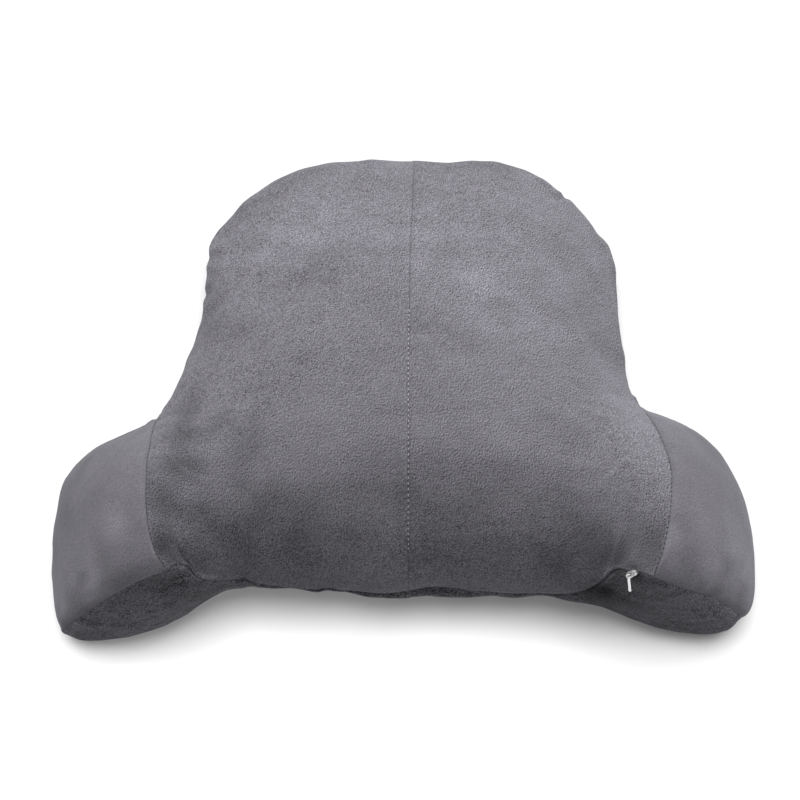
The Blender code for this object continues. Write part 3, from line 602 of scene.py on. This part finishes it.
def seamRelief(points, touches):
    # how far the seams lift each point, the painted shade along them, and the painted highlight beside the
    # bottom seam
    panelOf = touches.argmax(axis=1)
    onFront = touching(touches, ("frontLeft", "frontRight"))
    names = sorted(seamKind)
    sampled = [stepped(seams[pair], seamReach["sample"]) for pair in names]
    tree = treeOf(np.vstack([line for line, _ in sampled]))
    runs = np.concatenate([run for _, run in sampled])
    owners = np.concatenate([np.full(len(run), number) for number, (_, run) in enumerate(sampled)])
    lift = np.zeros(len(points))
    shade = np.zeros(len(points))
    lightShadeAndNap = np.ones(len(points))
    for index, point in enumerate(points):
        _, nearest, off = tree.find(point)
        if off > seamReach["farthest"]:
            continue
        owner = owners[nearest]
        kind = seamKind[names[owner]]
        look = seamLook[kind]
        alongSeam = runs[nearest] / mm / look["pitch"]
        away = off / seamReach["gatherPeak"]
        crest = noise.noise((alongSeam, away / seamReach["gatherLengthening"],
                             noiseApart["seam"] * owner + noiseApart["panel"] * panelOf[index]))
        wave = noise.noise((alongSeam / seamReach["waveLengthening"], noiseApart["wave"],
                            noiseApart["seamWave"] * owner))
        lift[index] = mm * (
            look["gather"] * 2 * crest * away * math.exp(1 - away)
            + look["wave"] * 2 * wave * math.exp(-(off / seamReach["waveReach"]) ** 2)
            - look["groove"] * math.exp(-(off / mm / look["width"]) ** 2)
            - look["roll"] * math.exp(-off / seamReach["rollReach"]))
        # painted shade along the seam, darkest on the seam line
        shade[index] = look["shade"] * max(1 - off / seamReach["shadeWidth"], 0.0)
        # a painted highlight: a lighter band on the front's rolled edge beside the bottom seam
        if onFront[index] and kind == "bottom":
            lip = (off - seamReach["lipAway"]) / seamReach["lipWidth"]
            lightShadeAndNap[index] += seamReach["paintedLipHighlight"] * math.exp(-(lip**2))
    return lift, shade, lightShadeAndNap


def pressCreases(points, touches, lift, shade):
    # adds the creases to the relief and paints shade into them
    ends = creaseLook["endFade"]
    for panelsCrossed, depth, width, lip, line in creases:
        line, _ = stepped(np.array([(x, y, 0.0) for x, y in line]) * cm, seamReach["sample"])
        for index in np.flatnonzero(touching(touches, panelsCrossed)):
            off = np.hypot(line[:, 0] - points[index, 0], line[:, 1] - points[index, 1])
            nearest = off.argmin()
            across = off[nearest] / mm / width
            fading = math.sin(math.pi * min(max((nearest + 1) / (len(line) + 1), ends), 1 - ends))
            hollow = depth * math.exp(-(across**2))
            lift[index] += mm * fading * (lip * math.exp(-((across - creaseLook["lipAway"]) ** 2)) - hollow)
            # painted shade: a dark line along the middle of the crease
            dark = creaseLook["shade"] * fading * math.exp(-((across / creaseLook["shadeWidth"]) ** 2))
            shade[index] = max(shade[index], dark)


# paints light and shade, and lighter and darker nap, under each stroke
def paintLightShadeAndNap(points, touches, lightShadeAndNap):
    # lightens or darkens the pile under each stroke
    waver = np.array([1 + strokeWaver["share"] * 2 * noise.noise(Vector(point) / strokeWaver["wavelength"])
                      for point in points])
    for panelsStroked, (x, y), (reachAcross, reachAlong), turnDeg, lighter in lightShadeAndNapStrokes:
        turn = math.radians(turnDeg)
        dx, dy = points[:, 0] / cm - x, points[:, 1] / cm - y
        across = (dx * math.cos(turn) + dy * math.sin(turn)) / reachAcross
        along = (dy * math.cos(turn) - dx * math.sin(turn)) / reachAlong
        stroke = lighter * waver * np.exp(-(across**2) - along**2)
        lightShadeAndNap *= 1 + touching(touches, panelsStroked) * stroke


def dressSeams(cover):
    data = cover.data
    points, normals = pointsOf(data), normalsOf(data)
    touches = panelsAtPoints(data)
    lift, shade, lightShadeAndNap = seamRelief(points, touches)
    pressCreases(points, touches, lift, shade)
    for index, point in enumerate(points):
        for wavelength, height, start in lumps:
            place = Vector(point) / (wavelength * mm) + Vector((start,) * 3)
            lift[index] += height * mm * 2 * noise.noise(place)
    offFloor = np.clip(points[:, 2] / seamReach["floorFade"], 0.0, 1.0)
    points = points + normals * (lift * offFloor)[:, None]
    points[:, 2] = np.maximum(points[:, 2], 0.0)
    setPoints(data, points)
    paintLightShadeAndNap(points, touches, lightShadeAndNap)
    for name, values in (("paintedSeamAndCreaseShade", shade), ("lightShadeAndNap", lightShadeAndNap)):
        stored = data.attributes.new(name, "FLOAT", "POINT")
        stored.data.foreach_set("value", values.astype(np.float32))


cover = sewCover()
print("cover sewn:", len(cover.data.vertices), "points")
stuffCover(cover)
subdivided(cover, 1)
seams = seamLines(cover.data)
dressSeams(cover)
cover.data.shade_smooth()
seams = seamLines(cover.data)
print("seams dressed:", len(cover.data.polygons), "faces")


# Stitches: slim beads of thread half sunk in the seams they hold, as far as the pile doesn't close over them.
stitchLook = {
    "stitches_centre": {"seam": ("frontLeft", "frontRight"), "pitch": 4.6 * mm, "length": 2.2 * mm,
                        "rise": 0.45 * mm, "showsFrom": -15.2 * cm, "showsTo": 5.0 * cm,
                        "thread": "paleThread"},
    "stitches_arm_left": {"seam": ("frontLeft", "armEndLeft"), "pitch": 4.3 * mm, "length": 2.7 * mm,
                          "rise": 0.20 * mm, "showsFrom": -30.0 * cm, "showsTo": -3.6 * cm,
                          "thread": "darkThread"},
    "stitches_arm_right": {"seam": ("frontRight", "armEndRight"), "pitch": 4.3 * mm, "length": 2.7 * mm,
                           "rise": 0.16 * mm, "showsFrom": -30.0 * cm, "showsTo": -3.0 * cm,
                           "thread": "darkThread"},
}
threadBead = {"radius": 0.42 * mm, "around": 6, "along": 5}  # sides around it and rings along it


def sewStitches(name, look, material):
    points, normals = pointsOf(cover.data), normalsOf(cover.data)
    tree = treeOf(points)
    spots, _ = stepped(seams[look["seam"]], look["pitch"])
    mesh = bmesh.new()
    for before, spot, after in zip(spots, spots[1:], spots[2:]):
        if not look["showsFrom"] < spot[1] < look["showsTo"]:
            continue
        along = Vector(after - before).normalized()
        outward = Vector(normals[tree.find(spot)[1]])
        outward = (outward - along * outward.dot(along)).normalized()
        turn = Matrix((along.cross(outward), along, outward)).transposed().to_4x4()
        place = Matrix.Translation(Vector(spot) + outward * look["rise"]) @ turn
        shape = Matrix.Diagonal((threadBead["radius"], look["length"] / 2, threadBead["radius"], 1.0))
        lying = Matrix.Rotation(math.radians(90.0), 4, "X")
        bmesh.ops.create_uvsphere(mesh, u_segments=threadBead["around"], v_segments=threadBead["along"],
                                  radius=1.0, matrix=place @ shape @ lying)
    stitches = placed(name, mesh)
    stitches.data.shade_smooth()
    stitches.data.materials.append(material)
    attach(stitches, "root")


def newNode(tree, kind, **values):
    node = tree.nodes.new(kind)
    for name, value in values.items():
        if hasattr(node, name):
            setattr(node, name, value)
        else:
            node.inputs[name.replace("_", " ")].default_value = value
    return node


def mathNode(tree, operation, first, second, clamp=False):
    node = newNode(tree, "ShaderNodeMath", operation=operation, use_clamp=clamp)
    for socket, value in zip(node.inputs, (first, second)):
        if isinstance(value, bpy.types.NodeSocket):
            tree.links.new(value, socket)
        else:
            socket.default_value = value
    return node.outputs["Value"]


def startMaterial(name):
    made = bpy.data.materials.new(name)
    made.use_nodes = True
    return made, made.node_tree, made.node_tree.nodes["Principled BSDF"]


def tint(tree, shader, colour, shade):
    # the shader's colour, lighter and darker by the shade
    scaled = newNode(tree, "ShaderNodeVectorMath", operation="SCALE")
    scaled.inputs[0].default_value = colour
    tree.links.new(shade, scaled.inputs["Scale"])
    tree.links.new(scaled.outputs["Vector"], shader.inputs["Base Color"])


def roughen(tree, shader, height, strength, distance):
    # a fine relief from the height
    bump = newNode(tree, "ShaderNodeBump", Strength=strength, Distance=distance)
    tree.links.new(height, bump.inputs["Height"])
    tree.links.new(bump.outputs["Normal"], shader.inputs["Normal"])


def scaledAndAdded(tree, value, times, plus):
    return mathNode(tree, "ADD", mathNode(tree, "MULTIPLY", value, times), plus)


# The pile: how far the painted shade of each tuft is shifted from its painted light, how strong that shade
# is, and for each layer the noise's stretch, turn in degrees, spots per metre, detail and roughness. The
# number of tufts to a metre comes from each material.
pileLook = {
    "lean": (0.40 * mm, -0.40 * mm, 0.0), "leanShare": 0.7,
    "tufts": ((1.0, 0.8, 1.0), 12.0, None, 2.5, 0.65),
    "blotches": ((0.7, 1.0, 1.0), 25.0, 110.0, 3.0, 0.65),
    "patches": ((0.6, 1.0, 1.0), -20.0, 17.0, 3.0, 0.55),
    "streaks": ((0.15, 1.0, 1.0), 8.0, 110.0, 3.0, 0.55),
}
noiseMiddle = 0.5


def pileGroup():
    # the short pile: the speckle, painted light and shade and height of its tufts, crushed blotches, patches
    # of nap and streaks
    tree = bpy.data.node_groups.new("plushPile", "ShaderNodeTree")
    for name in ("Speckle and tuft shade", "Tufts per metre", "Blotches", "Patches", "Streaks"):
        tree.interface.new_socket(name, in_out="INPUT", socket_type="NodeSocketFloat")
    for name in ("Shade", "Height"):
        tree.interface.new_socket(name, in_out="OUTPUT", socket_type="NodeSocketFloat")
    inputs = tree.nodes.new("NodeGroupInput")
    outputs = tree.nodes.new("NodeGroupOutput")
    where = tree.nodes.new("ShaderNodeTexCoord").outputs["Object"]

    def layer(name, shift=(0.0, 0.0, 0.0)):
        stretch, turnDeg, perMetre, detail, roughness = pileLook[name]
        place = newNode(tree, "ShaderNodeMapping", Scale=stretch, Rotation=(0.0, 0.0, math.radians(turnDeg)),
                        Location=shift)
        tree.links.new(where, place.inputs["Vector"])
        found = newNode(tree, "ShaderNodeTexNoise", Detail=detail, Roughness=roughness)
        tree.links.new(place.outputs["Vector"], found.inputs["Vector"])
        if perMetre is None:
            tree.links.new(inputs.outputs["Tufts per metre"], found.inputs["Scale"])
        else:
            found.inputs["Scale"].default_value = perMetre
        return mathNode(tree, "SUBTRACT", found.outputs["Fac"], noiseMiddle)

    tufts = layer("tufts")
    lean = mathNode(tree, "MULTIPLY", layer("tufts", shift=pileLook["lean"]), pileLook["leanShare"])
    shade = 1.0
    for found, name in (
        (mathNode(tree, "SUBTRACT", tufts, lean), "Speckle and tuft shade"),  # tufts with painted light on one side and painted shade on the other
        (layer("blotches"), "Blotches"),
        (layer("patches"), "Patches"),
        (layer("streaks"), "Streaks"),
    ):
        shade = scaledAndAdded(tree, found, inputs.outputs[name], shade)
    tree.links.new(shade, outputs.inputs["Shade"])
    tree.links.new(tufts, outputs.inputs["Height"])
    return tree


plushPile = pileGroup()
plushCloth = {"roughness": 0.95, "sheen": 0.25, "sheenRoughness": 0.45, "sheenTint": (0.8, 0.8, 0.88),
              "gloss": 0.15, "seamSharpness": 3.0}
# The face, arm ends and base share one plush. The base's colour is the face's darkened: painted shade. The
# arm ends are a little darker than the face.
plushLook = {
    "plushFace": {"colour": (0.191, 0.186, 0.207), "Speckle and tuft shade": 4.4, "Tufts per metre": 800.0,
                  "Blotches": 0.35, "Patches": 0.50, "Streaks": 0.20,
                  "bump": 0.6, "bumpDistance": 1.6 * mm},
    "plushArmEnd": {"colour": (0.162, 0.157, 0.175), "Speckle and tuft shade": 1.6, "Tufts per metre": 620.0,
                    "Blotches": 0.22, "Patches": 0.40, "Streaks": 0.12,
                    "bump": 0.15, "bumpDistance": 1.0 * mm},
    "plushBase": {"colour": (0.142, 0.137, 0.154), "Speckle and tuft shade": 6.6, "Tufts per metre": 620.0,
                  "Blotches": 1.6, "Patches": 0.50, "Streaks": 1.3,
                  "bump": 1.0, "bumpDistance": 2.0 * mm},
}


def plushMaterial(name, look):
    made, tree, shader = startMaterial(name)
    shader.inputs["Roughness"].default_value = plushCloth["roughness"]
    shader.inputs["Sheen Weight"].default_value = plushCloth["sheen"]
    shader.inputs["Sheen Roughness"].default_value = plushCloth["sheenRoughness"]
    shader.inputs["Sheen Tint"].default_value = (*plushCloth["sheenTint"], 1.0)
    shader.inputs["Specular IOR Level"].default_value = plushCloth["gloss"]
    pile = newNode(tree, "ShaderNodeGroup", node_tree=plushPile)
    for socket in pile.inputs:
        socket.default_value = look[socket.name]
    seam = newNode(tree, "ShaderNodeAttribute", attribute_name="paintedSeamAndCreaseShade")
    lightShadeAndNap = newNode(tree, "ShaderNodeAttribute", attribute_name="lightShadeAndNap")
    # the painted shade along the seams and in the creases, sharpened towards their lines
    paintedSeamDark = mathNode(tree, "POWER", seam.outputs["Fac"], plushCloth["seamSharpness"])
    kept = mathNode(tree, "SUBTRACT", 1.0, paintedSeamDark, clamp=True)
    shade = mathNode(tree, "MULTIPLY", pile.outputs["Shade"], kept)
    # the colour darkened by the painted seam and crease shade, and lightened and darkened by the painted
    # strokes and lip highlight
    tint(tree, shader, look["colour"], mathNode(tree, "MULTIPLY", shade, lightShadeAndNap.outputs["Fac"]))
    roughen(tree, shader, pile.outputs["Height"], look["bump"], look["bumpDistance"])
    return made


panelFinish = {"frontLeft": 0, "frontRight": 0, "armEndLeft": 1, "armEndRight": 1, "base": 2, "back": 0}
for name, look in plushLook.items():
    cover.data.materials.append(plushMaterial(name, look))
finishes = np.array([panelFinish[name] for name in panelNames], np.int32)
cover.data.polygons.foreach_set("material_index", finishes[panelOfFaces(cover.data)])
cover.data.update()
print("pile laid")

# Plied thread: the shade of its strands and their small ridges.
threadLook = {"roughness": 0.6, "strandsPerMetre": 2600.0, "strandShade": 0.8, "darkest": 0.6, "ridges": 0.5,
              "ridgeHeight": 0.1 * mm}
threadColour = {"paleThread": (0.50, 0.49, 0.51), "darkThread": (0.05, 0.05, 0.055)}


def threadMaterial(name, colour):
    made, tree, shader = startMaterial(name)
    shader.inputs["Roughness"].default_value = threadLook["roughness"]
    where = tree.nodes.new("ShaderNodeTexCoord").outputs["Object"]
    strands = newNode(tree, "ShaderNodeTexNoise", Scale=threadLook["strandsPerMetre"], Detail=1.0)
    tree.links.new(where, strands.inputs["Vector"])
    shade = scaledAndAdded(tree, strands.outputs["Fac"], threadLook["strandShade"], threadLook["darkest"])
    tint(tree, shader, colour, shade)
    roughen(tree, shader, strands.outputs["Fac"], threadLook["ridges"], threadLook["ridgeHeight"])
    return made


# Nickel plate: fine scratches of handling and a duller bloom between them.
plateWear = {"bloomPerMetre": 600.0, "scratchesPerMetre": 5000.0, "scratchStretch": (1.0, 0.15, 0.15),
             "scratchShade": 0.30, "darkest": 0.85, "scratchBump": 0.3, "scratchDepth": 0.05 * mm}
plateLook = {
    "zipMetal": {"node": "zip_slider", "colour": (0.62, 0.62, 0.63), "roughness": 0.30, "bloom": 0.25},
    "pullMetal": {"node": "zip_pull", "colour": (0.70, 0.70, 0.70), "roughness": 0.28, "bloom": 0.20},
}


def platedMaterial(name, look):
    made, tree, shader = startMaterial(name)
    shader.inputs["Metallic"].default_value = 1.0
    where = tree.nodes.new("ShaderNodeTexCoord").outputs["Object"]
    drawn = newNode(tree, "ShaderNodeMapping", Scale=plateWear["scratchStretch"])
    tree.links.new(where, drawn.inputs["Vector"])
    scratches = newNode(tree, "ShaderNodeTexNoise", Scale=plateWear["scratchesPerMetre"], Detail=3.0)
    tree.links.new(drawn.outputs["Vector"], scratches.inputs["Vector"])
    bloom = newNode(tree, "ShaderNodeTexNoise", Scale=plateWear["bloomPerMetre"], Detail=2.0)
    tree.links.new(where, bloom.inputs["Vector"])
    rough = scaledAndAdded(tree, bloom.outputs["Fac"], look["bloom"], look["roughness"])
    tree.links.new(rough, shader.inputs["Roughness"])
    shade = scaledAndAdded(tree, scratches.outputs["Fac"], plateWear["scratchShade"], plateWear["darkest"])
    tint(tree, shader, look["colour"], shade)
    roughen(tree, shader, scratches.outputs["Fac"], plateWear["scratchBump"], plateWear["scratchDepth"])
    return made


for name, look in plateLook.items():
    metal = bpy.data.objects[look["node"]].data
    metal.materials.clear()
    metal.materials.append(platedMaterial(name, look))
threads = {name: threadMaterial(name, colour) for name, colour in threadColour.items()}
for name, look in stitchLook.items():
    sewStitches(name, look, threads[look["thread"]])
print("stitches sewn, zip plated")

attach(cover, "root")
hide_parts("pillow")

# Camera above the face, tilted 12 degrees towards the base.
cameraView = {"elevationDeg": 78.0, "distance": 2.0, "target": (-0.00119, -0.00751, 0.05), "lens": 105.03}
tilt = math.radians(cameraView["elevationDeg"])
outOfFace = Vector((0.0, -math.cos(tilt), math.sin(tilt)))
camera = bpy.data.objects.new("camera", bpy.data.cameras.new("camera"))
camera.data.lens = cameraView["lens"]
camera.location = Vector(cameraView["target"]) + outOfFace * cameraView["distance"]
camera.rotation_euler = (-outOfFace).to_track_quat("-Z", "Y").to_euler()
bpy.context.scene.collection.objects.link(camera)
bpy.context.scene.camera = camera

# Wide soft lights for the pillow: beyond the top of the dome, at both sides and low in front. The floor has
# its own from overhead, and a small lamp that lifts the shadow between the arms.
studio = {
    "pillowLights": [
        # comes from, strength, angle in degrees; a light with an angle of 0 casts no shadow
        ("topLight", (0.0, 0.82, 0.57), 1.57, 60.0),
        ("topLeftLight", (-0.65, 0.52, 0.56), 1.6, 60.0),
        ("topRightLight", (0.47, 0.81, 0.34), 1.5, 60.0),
        ("rightLight", (0.996, 0.0, 0.09), 2.2, 60.0),
        ("leftLight", (-0.996, 0.0, 0.09), 0.76, 60.0),
        ("lowLight", (-0.13, -0.99, 0.09), 0.9, 60.0),
    ],
    "floorLights": [
        ("floorLight", (0.0, 0.15, 1.0), 2.9, 27.0),
        ("floorSoftLight", (0.0, 0.20, 1.0), 0.6, 60.0),
        ("floorFill", (0.0, 0.0, 1.0), 0.14, 0.0),
    ],
    "gapLight": {"place": (-0.12, -0.46, 0.26), "power": 1.3, "radius": 0.12},
    "skyStrength": 0.03,
    "floorSize": 3.0, "floorColour": (0.9, 0.9, 0.9), "floorRoughness": 0.9, "floorDrop": 0.2 * mm,
}


def hungLight(name, kind, power, litThings):
    # a light for these things alone
    light = bpy.data.objects.new(name, bpy.data.lights.new(name, kind))
    light.data.energy = power
    bpy.context.scene.collection.objects.link(light)
    lit = bpy.data.collections.new(name + "Lit")
    for thing in litThings:
        lit.objects.link(thing)
    light.light_linking.receiver_collection = lit
    return light


floorMesh = bmesh.new()
bmesh.ops.create_grid(floorMesh, x_segments=1, y_segments=1, size=studio["floorSize"])
bmesh.ops.translate(floorMesh, verts=floorMesh.verts, vec=(0.0, 0.0, -studio["floorDrop"]))
floor = placed("floor", floorMesh)
paper, _, paperShader = startMaterial("paperWhite")
paperShader.inputs["Base Color"].default_value = (*studio["floorColour"], 1.0)
paperShader.inputs["Roughness"].default_value = studio["floorRoughness"]
floor.data.materials.append(paper)
floor.visible_diffuse = False  # white paper this bright would light the underside of the arms
floor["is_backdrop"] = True

for litThings, lights in ((list(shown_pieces()), studio["pillowLights"]), ([floor], studio["floorLights"])):
    for name, comesFrom, strength, angleDeg in lights:
        light = hungLight(name, "SUN", strength, litThings)
        light.data.angle = math.radians(angleDeg)
        light.data.use_shadow = angleDeg > 0
        light.rotation_euler = (-Vector(comesFrom)).to_track_quat("-Z", "Y").to_euler()
gapLight = hungLight("gapLight", "POINT", studio["gapLight"]["power"], [floor])
gapLight.location = studio["gapLight"]["place"]
gapLight.data.shadow_soft_size = studio["gapLight"]["radius"]
world = bpy.data.worlds.new("studio")
world.use_nodes = True
world.node_tree.nodes["Background"].inputs["Color"].default_value = (1.0, 1.0, 1.0, 1.0)
world.node_tree.nodes["Background"].inputs["Strength"].default_value = studio["skyStrength"]
bpy.context.scene.world = world
bpy.context.scene.view_settings.view_transform = "Standard"
print("studio lit")
